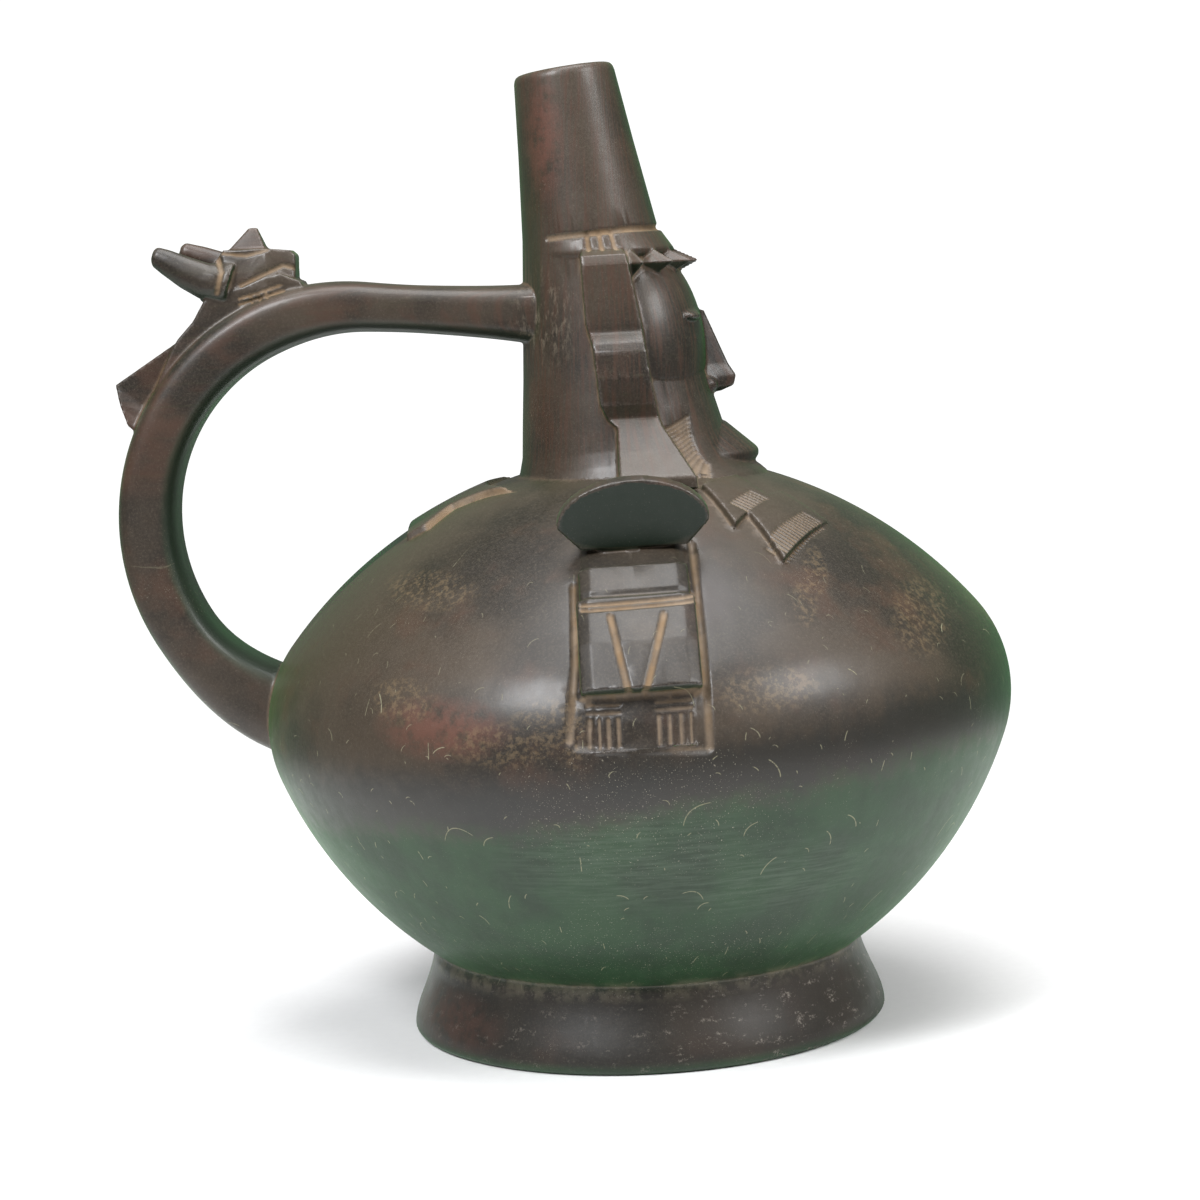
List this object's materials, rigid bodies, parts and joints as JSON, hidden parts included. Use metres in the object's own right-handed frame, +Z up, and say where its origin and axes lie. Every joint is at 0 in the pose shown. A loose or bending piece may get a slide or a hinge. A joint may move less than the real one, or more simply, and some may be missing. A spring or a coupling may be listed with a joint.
{
  "type": "single spout and handle vessel",
  "caption": "Round-bodied black clay vessel on a flaring ring foot, with one conical spout, an arched strap handle, a modelled head and small attendant figures.",
  "frame": {"origin": "centre of the bounding box in plan, on the plane the ring foot stands on", "axes": "+Z up through the spout, +X towards the side the modelled face looks to, the handle on -X, the two attendants on -Y and +Y"},
  "size_m": [0.1948, 0.1652, 0.2118],
  "materials": {
    "black_clay": "burnished satin, smoke blackened, dust in the recesses"
  },
  "bodies": {
    "root": {"vessel": "black_clay"}
  },
  "joints": []
}
